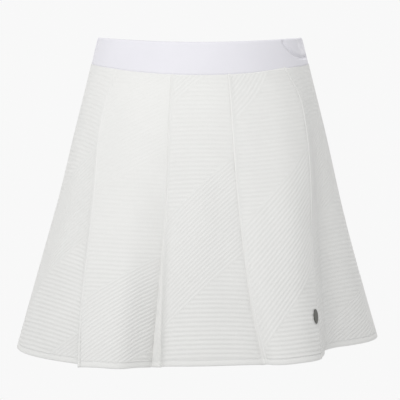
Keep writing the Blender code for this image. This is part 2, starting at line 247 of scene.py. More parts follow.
def seam_angle(number, down):
    """Angle of one of the ten seams, counted from the front centre gore's right edge."""
    right_outer, right_inner, left_inner, left_outer = curve_values(SEAMS, down)
    lean = SIDE_SEAM_LEAN * down
    return (right_inner, left_inner, left_outer, 90 + lean, 180 + right_outer,
            180 + right_inner, 180 + left_inner, 180 + left_outer, 270 - lean,
            360 + right_outer, 360 + right_inner)[number]


def gore_points(name, across, down):
    """Points of a gore's cloth at shares of its width and of its length."""
    number = GORE_NAMES.index(name)
    turned, stand_out = curve_values(GORES[name].folds, across)
    fade = np.maximum(down, 0) ** FOLD_FADE
    share = across + (turned - across) * fade
    start, end = seam_angle(number, down), seam_angle(number + 1, down)
    angle = np.radians(start + (end - start) * share)
    top = band_foot(angle) - SEAM_GAP
    foot = -HEM_DEPTH + HEM_TILT * LEVELS[-1].half_width * np.sin(angle)
    return oval_points(angle, top + (foot - top) * down, stand_out * fade)


def band_points(across, down, start):
    """Points of half the waistband, at shares of its length and height."""
    gap = SEAM_GAP / 2 / LEVELS[0].half_width
    angle = math.radians(start) + gap + (math.pi - 2 * gap) * across
    top, foot = band_top(angle), band_foot(angle)
    return oval_points(angle, top + (foot - top) * down, 0)


def outward(points_at, across, down):
    """Outward directions of a surface, from two short steps on it at each place."""
    a0, a1 = np.maximum(across - PROBE, 0), np.minimum(across + PROBE, 1)
    d0, d1 = down - PROBE, np.minimum(down + PROBE, 1)
    along = points_at(a1, down) - points_at(a0, down)
    upward = points_at(across, d0) - points_at(across, d1)
    normal = np.cross(along, upward)
    return normal / np.linalg.norm(normal, axis=1)[:, None]


def gore_outward(name, across, down):
    """Outward directions of a gore. Along a seam both gores share one direction."""
    normals = outward(lambda a, d: gore_points(name, a, d), across, down)
    for edge, step in ((0, -1), (1, 1)):
        on_edge = across == edge
        if on_edge.any():
            other = neighbour(name, step)
            beyond = outward(lambda a, d: gore_points(other, a, d),
                             1 - across[on_edge], down[on_edge])
            normals[on_edge] = normals[on_edge] + beyond
    return normals / np.linalg.norm(normals, axis=1)[:, None]


# Creases of the worn cloth -----------------------------------------------------------

# Soft troughs (depth over 0) and ridges (under 0) along a line from one place on a
# gore to another, each place as shares of the width and the length.
Crease = namedtuple("Crease", "gore start end width depth")
CREASES = (
    Crease("gore_front_center", (0.30, 0.10), (0.20, 0.75), 0.016, 0.0012),
    Crease("gore_front_center", (0.72, 0.25), (0.80, 0.95), 0.014, 0.0015),
    Crease("gore_front_left", (0.64, 0.04), (0.60, 1.00), 0.020, -0.0050),
    Crease("gore_front_left", (1.00, 0.00), (1.00, 0.50), 0.018, -0.0035),
    Crease("gore_side_front_left", (0.00, 0.00), (0.00, 0.50), 0.018, -0.0035),
    Crease("gore_side_front_left", (0.50, 0.35), (0.56, 0.90), 0.026, -0.0022),
    Crease("gore_side_front_left", (0.78, 0.30), (0.84, 0.98), 0.020, 0.0025),
    Crease("gore_front_right", (0.30, 0.20), (0.36, 0.80), 0.018, 0.0010),
    Crease("gore_side_front_right", (0.40, 0.35), (0.32, 1.00), 0.022, 0.0022),
    Crease("gore_side_front_right", (0.75, 0.15), (0.80, 0.60), 0.016, 0.0012),
    Crease("gore_side_back_left", (0.38, 0.30), (0.30, 1.00), 0.022, 0.0025),
    Crease("gore_side_back_left", (0.80, 0.10), (0.72, 0.55), 0.016, 0.0012),
    Crease("gore_side_back_right", (0.66, 0.25), (0.74, 0.98), 0.020, 0.0024),
    Crease("gore_back_center", (0.26, 0.20), (0.18, 0.90), 0.015, 0.0013),
    Crease("gore_back_center", (0.70, 0.12), (0.78, 0.70), 0.017, 0.0012),
    Crease("gore_back_left", (0.86, 0.30), (0.90, 1.00), 0.009, 0.0018),
    Crease("gore_back_right", (0.12, 0.35), (0.08, 0.98), 0.010, 0.0020),
)
# Strength of a crease at its start, and how much of a half wave it then runs through
CREASE_START = 0.12
CREASE_RUN = 0.76

# Valleys that run down along a seam: the share of the length where they start, how deep
# they come to be, and how far they spread on the gore before and the gore after the seam
VALLEY_SHARPNESS = 1.25
VALLEY_END = 1.2
SeamValley = namedtuple("SeamValley", "seam starts depth before after")
SEAM_VALLEYS = (
    SeamValley(0, 0.12, 0.0280, 0.024, 0.008),
    SeamValley(1, 0.05, 0.0085, 0.012, 0.011),
    SeamValley(2, -0.20, 0.0042, 0.016, 0.034),
    SeamValley(3, 0.20, 0.0035, 0.018, 0.014),
    SeamValley(4, 0.25, 0.0040, 0.014, 0.010),
    SeamValley(5, 0.35, 0.0080, 0.014, 0.010),
    SeamValley(6, 0.20, 0.0120, 0.009, 0.022),
    SeamValley(7, 0.30, 0.0035, 0.014, 0.016),
    SeamValley(9, 0.35, 0.0065, 0.020, 0.008),
)


def line_distance(x, y, start, end):
    """Distance of points from a straight line's nearest place, and how far along it is."""
    dx, dy = end[0] - start[0], end[1] - start[1]
    along = np.clip(((x - start[0]) * dx + (y - start[1]) * dy) / (dx * dx + dy * dy), 0, 1)
    return np.hypot(x - start[0] - along * dx, y - start[1] - along * dy), along


def crease_heights(flat, x, y):
    """How far the creases lift or sink a gore's flat points."""
    heights = np.zeros(len(x))
    for crease in CREASES:
        if crease.gore != flat.name:
            continue
        start, end = (flat.place(*place) for place in (crease.start, crease.end))
        distance, along = line_distance(x, y, start, end)
        strength = np.sin(math.pi * (CREASE_START + CREASE_RUN * along))
        heights -= crease.depth * strength * np.exp(-(distance / crease.width) ** 2)
    across, down = flat.shares(x, y)
    seams = GORE_NAMES.index(flat.name), GORE_NAMES.index(neighbour(flat.name, 1))
    for valley in SEAM_VALLEYS:
        if valley.seam in seams:
            aside = (across - seams.index(valley.seam)) * flat.width(down)
            spread = np.where(aside < 0, valley.before, valley.after)
            depth = valley.depth * smooth_step(valley.starts, VALLEY_END, down)
            heights -= depth * np.exp(-np.abs(aside / spread) ** VALLEY_SHARPNESS)
    return heights


# Cutting a gore flat -----------------------------------------------------------------


class FlatGore:
    """The cut piece: a sector, in x across, -y down from the waist and z out."""

    def __init__(self, name):
        self.name = name
        self.waist_width, self.hem_width = self.width_at(0), self.width_at(1)
        down = np.linspace(0, 1, LENGTH_POINTS)
        self.length = line_length(gore_points(name, np.full(LENGTH_POINTS, 0.5), down))
        self.half_angle = (self.hem_width - self.waist_width) / self.length / 2
        self.radius = self.waist_width / 2 / self.half_angle

    def width_at(self, down):
        across = np.linspace(0, 1, WIDTH_POINTS)
        return line_length(gore_points(self.name, across, np.full(WIDTH_POINTS, float(down))))

    def width(self, down):
        return self.waist_width + (self.hem_width - self.waist_width) * down

    def cut(self):
        """Greatest width, length and area of the cloth in the gore."""
        widths = np.array([self.width_at(down) for down in np.linspace(0, 1, CUT_ROWS)])
        return widths.max(), self.length, widths.mean() * self.length

    def place(self, across, down):
        reach = self.radius + self.length * down
        turn = self.half_angle * (2 * across - 1)
        return reach * math.sin(turn), self.radius - reach * math.cos(turn)

    def edges(self):
        """Profiles of the cloth beside its first and its last seam."""
        return [LAPPED_EDGE if lapped else TUCKED_EDGE for lapped in GORES[self.name].laps]

    def shares(self, x, y):
        """The reverse of place. Shares under 0 or over 1 lie past an edge."""
        reach = np.hypot(x, self.radius - y)
        turn = np.arctan2(x, self.radius - y)
        across = (turn / self.half_angle + 1) / 2
        down = np.minimum((reach - self.radius) / self.length, 1)
        for edge in (0, 1):
            across[np.abs(across - edge) < 2 * SNAP / self.waist_width] = edge
        return across, down

    def worn(self, across, down):
        """Worn places and outward directions. Past a seam they are those of the next gore."""
        inside = np.clip(across, 0, 1)
        points = gore_points(self.name, inside, down)
        outs = gore_outward(self.name, inside, down)
        for past, step in ((across < 0, -1), (across > 1, 1)):
            if past.any():
                other = flat_gore(neighbour(self.name, step))
                rows = down[past]
                over = (np.abs(across[past] - 0.5) - 0.5) * self.width(rows) / other.width(rows)
                there = over if step > 0 else 1 - over
                points[past] = gore_points(other.name, there, rows)
                outs[past] = gore_outward(other.name, there, rows)
        return points, outs

    def bend(self, x, y, out):
        """Worn places of flat points that stand out from the cloth's plane by out."""
        points, outs = self.worn(*self.shares(x, y))
        return points + outs * np.asarray(out)[:, None]


@lru_cache(maxsize=None)
def flat_gore(name):
    return FlatGore(name)


def column_shares(flat, down, between):
    """Shares across at one row: fixed distances near both edges, even shares between."""
    width = flat.width(down)
    left, right = ([stop.distance / width for stop in edge] for edge in flat.edges())
    middle = [left[-1] + (1 - right[-1] - left[-1]) * k / between for k in range(1, between)]
    return left + middle + [1 - share for share in reversed(right)]


def row_shares(flat):
    """Shares down: the top's own rows, even rows, and the hem's own rows."""
    top = [stop.distance / flat.length for stop in TOP_EDGE]
    hem = [1 - stop.distance / flat.length for stop in reversed(HEM_EDGE)]
    count = round((hem[0] - top[-1]) * flat.length / ROW_HEIGHT)
    return top + [top[-1] + (hem[0] - top[-1]) * k / count for k in range(1, count)] + hem


def flat_slab(flat):
    """Flat slab of cloth on a grid. The faces that carry ribs are returned too."""
    rows = row_shares(flat)
    between = round(flat.hem_width / COLUMN_WIDTH)
    columns = len(column_shares(flat, 0, between))
    bm = bmesh.new()
    kind = bm.faces.layers.int.new("field")
    bmesh.ops.create_grid(bm, x_segments=columns - 1, y_segments=len(rows) - 1, size=0.5)
    row_columns = [column_shares(flat, down, between) for down in rows]
    spot = {}
    for vert in bm.verts:
        column = round((vert.co.x + 0.5) * (columns - 1))
        row = round((0.5 - vert.co.y) * (len(rows) - 1))
        spot[vert] = column, row
        vert.co = (*flat.place(row_columns[row][column], rows[row]), 0)
    left, right = flat.edges()
    first, last = len(left) - 1, columns - len(right)
    top, foot = len(TOP_EDGE) - 1, len(rows) - len(HEM_EDGE)

    def in_field(vert):
        column, row = spot[vert]
        return first <= column <= last and top <= row <= foot

    field = [face for face in bm.faces if all(in_field(v) for v in face.verts)]
    level_edges = set()
    for face in field:
        for edge in face.edges:
            (_, row0), (_, row1) = (spot[v] for v in edge.verts)
            if row0 == row1 and top < row0 < foot:
                level_edges.add(edge)
    for face in field:
        face[kind] = 1
    grown = bmesh.ops.extrude_face_region(bm, geom=list(bm.faces), use_keep_orig=True)
    for item in grown["geom"]:
        if isinstance(item, bmesh.types.BMVert):
            item.co.z = -CLOTH_WALL
        elif isinstance(item, bmesh.types.BMFace):
            item[kind] = 0
    bmesh.ops.recalc_face_normals(bm, faces=list(bm.faces))
    bmesh.ops.dissolve_edges(bm, edges=list(level_edges), use_verts=True)
    return bm, [face for face in bm.faces if face[kind] == 1]


def rib_line_cuts(bm, faces, points, normal):
    """Cut faces along lines in turn. Each line lies beyond the one before it."""
    done = []
    for point in points:
        ahead, behind = [], []
        for face in faces:
            reach = max((v.co - point).dot(normal) for v in face.verts)
            (ahead if reach > SNAP else behind).append(face)
        done += behind
        if not ahead:
            return done
        crossed, clear = [], []
        for face in ahead:
            low = min((v.co - point).dot(normal) for v in face.verts)
            (crossed if low < -SNAP else clear).append(face)
        if crossed:
            geometry = list({item for f in crossed for item in (f, *f.edges, *f.verts)})
            cut = bmesh.ops.bisect_plane(bm, geom=geometry, dist=SNAP, plane_co=point,
                                         plane_no=normal)
            crossed = [item for item in cut["geom"] if isinstance(item, bmesh.types.BMFace)]
        faces = clear + crossed
    return done + faces


def slanted_distance(x, y, start, slant):
    """Distance below the upper edge of a slanted band, square to its ribs."""
    return (-y - start) * math.cos(slant) + x * math.sin(slant)


def cut_ribs(bm, field, flat, ribs):
    """Cut the rib field along its ribs, level and slanted bands by turns."""
    slant = math.radians(GORES[flat.name].slant)
    across_ribs = Vector((math.sin(slant), -math.cos(slant), 0))
    period = SLANTED_BAND / math.cos(slant) + LEVEL_BAND
    starts = [GORES[flat.name].slant_starts + k * period for k in (-1, 0, 1)]
    edges = [Vector((0, -start, 0)) + across_ribs * d for start in starts for d in (0, SLANTED_BAND)]
    field = rib_line_cuts(bm, field, edges, across_ribs)
    slanted = {start: [] for start in starts}
    level = []
    for face in field:
        x, y, _ = face.calc_center_median()
        inside = [s for s in starts if 0 < slanted_distance(x, y, s, slant) < SLANTED_BAND]
        (slanted[inside[0]] if inside else level).append(face)
    step = ribs.pitch / CUTS_PER_RIB
    lines = [Vector((0, -k * step, 0)) for k in range(1, int(2 * flat.length / step))]
    level = rib_line_cuts(bm, level, lines, Vector((0, -1, 0)))
    step = ribs.slanted_pitch / CUTS_PER_RIB
    for start in starts:
        lines = [Vector((0, -start, 0)) + across_ribs * (k * step)
                 for k in range(1, round(SLANTED_BAND / step))]
        slanted[start] = rib_line_cuts(bm, slanted[start], lines, across_ribs)
    return level, slanted


def rib_wave(distance, pitch):
    """Share of a rib's height: a rounded crest between narrower grooves."""
    return (0.5 - 0.5 * np.cos(2 * math.pi * distance / pitch)) ** CREST_POWER


def edge_height(stops, distance, side):
    """Height of the outer or the inner face beside an edge, against that of the field."""
    heights = [getattr(stop, side) for stop in stops]
    field = 0 if side == "outer" else -CLOTH_WALL
    return np.interp(distance, [stop.distance for stop in stops], heights, right=field) - field


def gore_heights(bm, flat, level, slanted, ribs):
    """How far each point of a flat slab stands out, and its mix towards the light colour: 1 on a rib's
    crest, less towards a groove, where the colour gets painted shade.
    """
    slant = math.radians(GORES[flat.name].slant)
    bm.verts.index_update()
    x, y, z = np.array([v.co for v in bm.verts]).T
    across, down = flat.shares(x, y)
    wave = np.full(len(x), np.nan)
    fullness = 1 - ribs.level_stretch * np.maximum(1 - down, 0) ** STRETCH_POWER
    for start, faces in slanted.items():
        rows = sorted({v.index for f in faces for v in f.verts})
        distance = slanted_distance(x[rows], y[rows], start, slant)
        wave[rows] = rib_wave(distance, ribs.slanted_pitch)
        fullness[rows] = ribs.slanted_share * (1 - ribs.slanted_stretch * (1 - down[rows]))
    rows = sorted({v.index for f in level for v in f.verts})
    wave[rows] = rib_wave(-y[rows], ribs.pitch)
    if flat.name in PULLED_FLAT:
        fullness *= 1 - PULLED_SHARE * (1 - smooth_step(*PULLED_FLAT[flat.name], down))
    # Painted shade: the colour darkens from each rib's crest towards the grooves between the ribs.
    groove_shade_mix = 1 - fullness * (1 - np.nan_to_num(wave, nan=1.0))
    width = flat.width(down)
    outer = z > -SNAP
    left, right = flat.edges()
    distances = ((left, across * width), (right, (1 - across) * width),
                 (TOP_EDGE, down * flat.length), (HEM_EDGE, (1 - down) * flat.length))
    out = np.where(outer, ribs.height * fullness * np.nan_to_num(wave), -CLOTH_WALL)
    for stops, distance in distances:
        out += np.where(outer, edge_height(stops, distance, "outer"),
                        edge_height(stops, distance, "inner"))
    return out, groove_shade_mix


def set_cloth_uv(bm):
    """UV in metres of the flat cloth, so that the knit follows the cut."""
    layer = bm.loops.layers.uv.new("cloth")
    for face in bm.faces:
        for loop in face.loops:
            loop[layer].uv = loop.vert.co.xy


def build_gore(name, ribs):
    flat = flat_gore(name)
    bm, field = flat_slab(flat)
    level, slanted = cut_ribs(bm, field, flat, ribs)
    out, groove_shade_mix = gore_heights(bm, flat, level, slanted, ribs)
    set_cloth_uv(bm)
    bmesh.ops.triangulate(bm, faces=[f for f in bm.faces if len(f.verts) > 4])
    x, y, _ = np.array([v.co for v in bm.verts]).T
    out = out + crease_heights(flat, x, y)
    # The crest attribute carries this painted shade of the grooves to the material.
    crest = bm.verts.layers.float.new("crest")
    for vert, place, lightness in zip(bm.verts, flat.bend(x, y, out), groove_shade_mix):
        vert.co = place
        vert[crest] = lightness
    return bm, flat


# Pieces of mesh ----------------------------------------------------------------------


def add_piece(bm, name, material, smooth_angle=50):
    mesh = bpy.data.meshes.new(name)
    bm.to_mesh(mesh)
    bm.free()
    mesh.materials.append(material)
    mesh.shade_smooth()
    mesh.set_sharp_from_angle(angle=math.radians(smooth_angle))
    piece = bpy.data.objects.new(name, mesh)
    bpy.context.scene.collection.objects.link(piece)
    return piece


def along_line(places, count):
    """A line of points read again at evenly spaced places."""
    steps = np.linalg.norm(np.diff(places[:, :3], axis=0), axis=1)
    run = np.concatenate(([0], np.cumsum(steps)))
    stops = np.linspace(0, run[-1], count)
    return np.stack([np.interp(stops, run, column) for column in places.T], axis=1)


def sewn_thread(places, outs, sewing):
    """A thread along a line of points. It dives into the cloth between stitches."""
    stitches = round(line_length(places) / sewing.stitch_pitch)
    count = stitches * STITCH_STEPS + 1
    line = along_line(np.hstack((places, outs)), count)
    places, outs = line[:, :3], line[:, 3:]
    outs /= np.linalg.norm(outs, axis=1)[:, None]
    along = np.gradient(places, axis=0)
    aside = np.cross(along, outs)
    aside /= np.linalg.norm(aside, axis=1)[:, None]
    phase = np.arange(count) / STITCH_STEPS
    rise = np.sqrt(np.abs(np.sin(math.pi * phase)))
    centres = places + outs * (sewing.thread * (THREAD_RISE * rise - THREAD_DIVE))[:, None]
    radius = np.where((phase > 0) & (phase < stitches), sewing.thread / 2, 0)
    bm = bmesh.new()
    bmesh.ops.create_grid(bm, x_segments=count - 1, y_segments=THREAD_SIDES, size=0.5)
    x, y, _ = np.array([v.co for v in bm.verts]).T
    step = np.rint((x + 0.5) * (count - 1)).astype(int)
    turn = 2 * math.pi * np.rint((y + 0.5) * THREAD_SIDES) / THREAD_SIDES
    spokes = outs[step] * np.cos(turn)[:, None] + aside[step] * np.sin(turn)[:, None]
    for vert, place in zip(bm.verts, centres[step] + spokes * radius[step][:, None]):
        vert.co = place
    bmesh.ops.remove_doubles(bm, verts=list(bm.verts), dist=1e-6)
    bmesh.ops.recalc_face_normals(bm, faces=list(bm.faces))
    return bm


def add_from(bm, other):
    """Move another mesh's faces into this one."""
    mesh = bpy.data.meshes.new("part")
    other.to_mesh(mesh)
    other.free()
    bm.from_mesh(mesh)
    bpy.data.meshes.remove(mesh)


# Materials ---------------------------------------------------------------------------


def set_inputs(node, values):
    for label, value in values.items():
        node.inputs[label].default_value = value


def new_material(name, colour, roughness, metallic=0.0):
    material = bpy.data.materials.new(name)
    material.use_nodes = True
    shader = material.node_tree.nodes["Principled BSDF"]
    set_inputs(shader, {"Base Color": (*colour, 1), "Roughness": roughness, "Metallic": metallic})
    return material, material.node_tree, shader


def add_bump(tree, shader, height, distance, strength=1.0):
    bump = tree.nodes.new("ShaderNodeBump")
    set_inputs(bump, {"Strength": strength, "Distance": distance})
    tree.links.new(height, bump.inputs["Height"])
    tree.links.new(bump.outputs["Normal"], shader.inputs["Normal"])


def node_group(name, inputs, outputs):
    group = bpy.data.node_groups.new(name, "ShaderNodeTree")
    for label, kind, value in inputs:
        socket = group.interface.new_socket(label, in_out="INPUT", socket_type=kind)
        if value is not None:
            socket.default_value = value
    for label, kind in outputs:
        group.interface.new_socket(label, in_out="OUTPUT", socket_type=kind)
    return group, group.nodes.new("NodeGroupInput"), group.nodes.new("NodeGroupOutput")


def math_node(tree, operation, first, second=None, third=None):
    """A Math node. Each value is a number or a socket."""
    node = tree.nodes.new("ShaderNodeMath")
    node.operation = operation
    for slot, value in enumerate((first, second, third)):
        if value is None:
            continue
        if isinstance(value, (int, float)):
            node.inputs[slot].default_value = value
        else:
            tree.links.new(value, node.inputs[slot])
    return node.outputs[0]


def noise_texture(tree, vector, scale, detail=2):
    noise = tree.nodes.new("ShaderNodeTexNoise")
    set_inputs(noise, {"Scale": scale, "Detail": detail})
    tree.links.new(vector, noise.inputs["Vector"])
    return noise.outputs["Fac"]


COURSES_PER_WALE = 1.3
STITCH_LEAN = 1.6


def knit_group():
    """Rows of small V-shaped knit stitches on the cloth's own UV, with a fibre fuzz, and painted shade
    in the hollows between the stitches.
    """
    group, given, result = node_group(
        "knit_stitches",
        (("Vector", "NodeSocketVector", None), ("Stitch Width", "NodeSocketFloat", 0.0009),
         ("Fuzz", "NodeSocketFloat", 0.3)),
        (("Height", "NodeSocketFloat"), ("Shade", "NodeSocketFloat")))
    split = group.nodes.new("ShaderNodeSeparateXYZ")
    group.links.new(given.outputs["Vector"], split.inputs[0])
    wale = math_node(group, "DIVIDE", split.outputs["X"], given.outputs["Stitch Width"])
    course = math_node(group, "DIVIDE", split.outputs["Y"], given.outputs["Stitch Width"])
    course = math_node(group, "MULTIPLY", course, COURSES_PER_WALE)
    side = math_node(group, "PINGPONG", wale, 0.5)
    lean = math_node(group, "MULTIPLY", side, STITCH_LEAN)
    row = math_node(group, "SUBTRACT", course, lean)
    wave = math_node(group, "SINE", math_node(group, "MULTIPLY", row, 2 * math.pi))
    rise = math_node(group, "MULTIPLY_ADD", wave, 0.5, 0.5)
    bulge = math_node(group, "SINE", math_node(group, "MULTIPLY", side, 2 * math.pi))
    stitch = math_node(group, "MULTIPLY", rise, math_node(group, "ABSOLUTE", bulge))
    fibre = noise_texture(group, given.outputs["Vector"], scale=2600, detail=3)
    fuzz = math_node(group, "MULTIPLY", fibre, given.outputs["Fuzz"])
    height = math_node(group, "ADD", stitch, fuzz)
    group.links.new(height, result.inputs["Height"])
    # Painted shade: the colour darkens in the hollows between the stitches.
    shade = math_node(group, "MULTIPLY_ADD", stitch, 0.10, 0.92)
    group.links.new(shade, result.inputs["Shade"])
    return group


def cloth_tone_group():
    """Slow unevenness of a cloth's tone, times a painted shade input, and painted shade in darker
    places by a mask.
    """
    group, given, result = node_group(
        "cloth_tone",
        (("Vector", "NodeSocketVector", None), ("Light", "NodeSocketColor", (1, 1, 1, 1)),
         ("Dark", "NodeSocketColor", (0.8, 0.8, 0.8, 1)), ("Mask", "NodeSocketFloat", 1.0),
         ("Shade", "NodeSocketFloat", 1.0)),
        (("Color", "NodeSocketColor"),))
    slow = noise_texture(group, given.outputs["Vector"], scale=18, detail=4)
    uneven = math_node(group, "MULTIPLY_ADD", slow, 0.05, 0.975)
    level = math_node(group, "MULTIPLY", uneven, given.outputs["Shade"])
    mix = group.nodes.new("ShaderNodeMix")
    mix.data_type = "RGBA"
    group.links.new(given.outputs["Mask"], mix.inputs["Factor"])
    group.links.new(given.outputs["Dark"], mix.inputs["A"])
    group.links.new(given.outputs["Light"], mix.inputs["B"])
    scale = group.nodes.new("ShaderNodeVectorMath")
    scale.operation = "SCALE"
    group.links.new(mix.outputs["Result"], scale.inputs[0])
    group.links.new(level, scale.inputs["Scale"])
    group.links.new(scale.outputs[0], result.inputs["Color"])
    return group


def grain_group():
    """Fine grain of thread or metal."""
    group, given, result = node_group(
        "fine_grain",
        (("Vector", "NodeSocketVector", None), ("Scale", "NodeSocketFloat", 1.0)),
        (("Height", "NodeSocketFloat"),))
    grain = noise_texture(group, given.outputs["Vector"], scale=1)
    group.links.new(given.outputs["Scale"], grain.node.inputs["Scale"])
    group.links.new(grain, result.inputs["Height"])
    return group


def place_group(tree, name, make, vector, values):
    """Place a node group, which is made when it is first placed."""
    node = tree.nodes.new("ShaderNodeGroup")
    node.node_tree = bpy.data.node_groups.get(name) or make()
    tree.links.new(vector, node.inputs["Vector"])
    set_inputs(node, values)
    return node


def knit_material(name, light, groove_shade, roughness, stitch_width, bump_depth, mask_name=None):
    """Knitted cloth that follows the piece's own UV, with painted shade in its stitches' hollows and,
    by the mask, in the grooves between ribs.
    """
    material, tree, shader = new_material(name, light, roughness)
    uv = tree.nodes.new("ShaderNodeUVMap")
    uv.uv_map = "cloth"
    knit = place_group(tree, "knit_stitches", knit_group, uv.outputs["UV"],
                       {"Stitch Width": stitch_width})
    tone = place_group(tree, "cloth_tone", cloth_tone_group, uv.outputs["UV"],
                       {"Light": (*light, 1), "Dark": (*groove_shade, 1)})
    # The knit's Shade darkens the colour in the stitches' hollows: painted shade, on the band too.
    tree.links.new(knit.outputs["Shade"], tone.inputs["Shade"])
    # The mask mixes the cloth's colour towards the painted shade of the grooves.
    if mask_name:
        mask = tree.nodes.new("ShaderNodeAttribute")
        mask.attribute_name = mask_name
        tree.links.new(mask.outputs["Fac"], tone.inputs["Mask"])
    tree.links.new(tone.outputs["Color"], shader.inputs["Base Color"])
    add_bump(tree, shader, knit.outputs["Height"], distance=bump_depth, strength=0.6)
    set_inputs(shader, {"Sheen Weight": 0.12, "Sheen Roughness": 0.5, "Specular IOR Level": 0.25})
    return material


def thread_material(colour):
    """Sewing thread with a fine twist."""
    material, tree, shader = new_material("sewing_thread", colour, roughness=0.55)
    place = tree.nodes.new("ShaderNodeTexCoord")
    twist = place_group(tree, "fine_grain", grain_group, place.outputs["Object"], {"Scale": 3500})
    add_bump(tree, shader, twist.outputs["Height"], distance=0.00005)
    return material


def stud_material(colour):
    """Dark satin metal with faint brushing."""
    material, tree, shader = new_material("dark_gunmetal", colour, roughness=0.38, metallic=1.0)
    place = tree.nodes.new("ShaderNodeTexCoord")
    stretch = tree.nodes.new("ShaderNodeMapping")
    stretch.inputs["Scale"].default_value = (400, 400, 6000)
    tree.links.new(place.outputs["Object"], stretch.inputs["Vector"])
    grain = place_group(tree, "fine_grain", grain_group, stretch.outputs["Vector"], {"Scale": 1})
    rough = math_node(tree, "MULTIPLY_ADD", grain.outputs["Height"], 0.25, 0.28)
    tree.links.new(rough, shader.inputs["Roughness"])
    add_bump(tree, shader, grain.outputs["Height"], distance=0.00002)
    return material


# Settings ----------------------------------------------------------------------------


class SkirtRibs(bpy.types.PropertyGroup):
    pitch: FloatProperty(name="Level Pitch", description="Distance from one level rib to the next",
                         default=0.0054, unit="LENGTH")
    slanted_pitch: FloatProperty(name="Slanted Pitch", default=0.0043, unit="LENGTH",
                                 description="Distance from one slanted rib to the next")
    height: FloatProperty(name="Rib Height", description="How far a rib stands out",
                          default=0.00070, unit="LENGTH")
    level_stretch: FloatProperty(name="Level Stretch", default=0.75, subtype="FACTOR",
                                 description="How much the waist's stretch flattens level ribs")
    slanted_share: FloatProperty(name="Slanted Share", default=0.78, subtype="FACTOR",
                                 description="Height of slanted ribs against that of level ribs")
    slanted_stretch: FloatProperty(name="Slanted Stretch", default=0.5, subtype="FACTOR",
                                   description="How much the waist's stretch flattens slanted ribs")
    light: FloatVectorProperty(name="Rib Colour", description="Colour of the ribs",
                               subtype="COLOR", default=(0.81, 0.81, 0.795))
    # Painted shade: the colour that the grooves between the ribs are darkened to.
    groove_shade: FloatVectorProperty(name="Painted Groove Shade", description="Colour between the ribs",
                              subtype="COLOR", default=(0.78, 0.78, 0.765))


class SkirtBand(bpy.types.PropertyGroup):
    steps: IntProperty(name="Band Steps", description="Divisions of half the waistband",
                       default=220)
    colour: FloatVectorProperty(name="Band Colour", description="Colour of the waistband",
                                subtype="COLOR", default=(0.765, 0.758, 0.803))


class SkirtSewing(bpy.types.PropertyGroup):
    stitch_pitch: FloatProperty(name="Stitch Pitch", description="Distance between stitches",
                                default=0.0027, unit="LENGTH")
    thread: FloatProperty(name="Thread Thickness", description="Thickness of a stitch",
                          default=0.00042, unit="LENGTH")
    colour: FloatVectorProperty(name="Thread Colour", description="Colour of the thread",
                                subtype="COLOR", default=(0.84, 0.84, 0.84))


class SkirtStud(bpy.types.PropertyGroup):
    width: FloatProperty(name="Stud Width", description="Width of the oval stud",
                         default=0.010, unit="LENGTH")
    height: FloatProperty(name="Stud Height", description="Height of the oval stud",
                          default=0.018, unit="LENGTH")
    thickness: FloatProperty(name="Stud Thickness", description="How far the stud stands out",
                             default=0.0012, unit="LENGTH")
    colour: FloatVectorProperty(name="Stud Colour", description="Colour of the stud's metal",
                                subtype="COLOR", default=(0.16, 0.16, 0.15))


class SkirtStage(bpy.types.PropertyGroup):
    backdrop: FloatProperty(name="Backdrop Brightness", description="Glow of the backdrop",
                            default=0.94)
    ambient: FloatProperty(name="Ambient Light", description="Strength of the light all round",
                           default=0.83)
    side: FloatProperty(name="Side Light", default=-0.018,
                        description="Gain of the light all round for each metre to the right")
    rear: FloatProperty(name="Rear Light", default=0.03,
                        description="Gain of the light all round for each metre to the rear")
    key: FloatProperty(name="Key Light", description="Power of the soft light at the front left",
                       default=5.6, unit="POWER")
    rear_lamp: FloatProperty(name="Rear Lamp", description="Power of the soft light behind",
                             default=5.0, unit="POWER")
    camera_distance: FloatProperty(name="Camera Distance", default=2.25, unit="LENGTH",
                                   description="Distance of the camera in front of the waist")
    camera_pitch: FloatProperty(name="Camera Pitch", default=5.31,
                                description="How far the camera looks down, in degrees")
    metres_per_pixel: FloatProperty(name="Photo Scale", default=0.001286, precision=6,
                                    description="Size of a picture pixel at the waist's middle")


# Operators ---------------------------------------------------------------------------


class SKIRT_OT_gores(bpy.types.Operator):
    """Cuts the ten ribbed gores flat and bends them to the worn form"""
    bl_idname = "skirt.gores"
    bl_label = "Cut Gores"

    def execute(self, context):
        ribs = context.scene.skirt_ribs
        # The crest mask paints shade into the grooves between the ribs.
        cloth = knit_material("ribbed_white_knit", ribs.light, ribs.groove_shade, roughness=0.82,
                              stitch_width=0.0010, bump_depth=0.00016, mask_name="crest")
        for name in GORE_NAMES:
            bm, flat = build_gore(name, ribs)
            piece = add_piece(bm, name + "_cloth", cloth)
            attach(piece, "root")
            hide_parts(name)
            width, length, area = flat.cut()
        return {"FINISHED"}


# A wrinkle's path runs through places on the band: degrees round, share of its height down
Wrinkle = namedtuple("Wrinkle", "depth width path")
# A corner of the band that leans in behind its wrinkle
Lean = namedtuple("Lean", "angle down depth width")


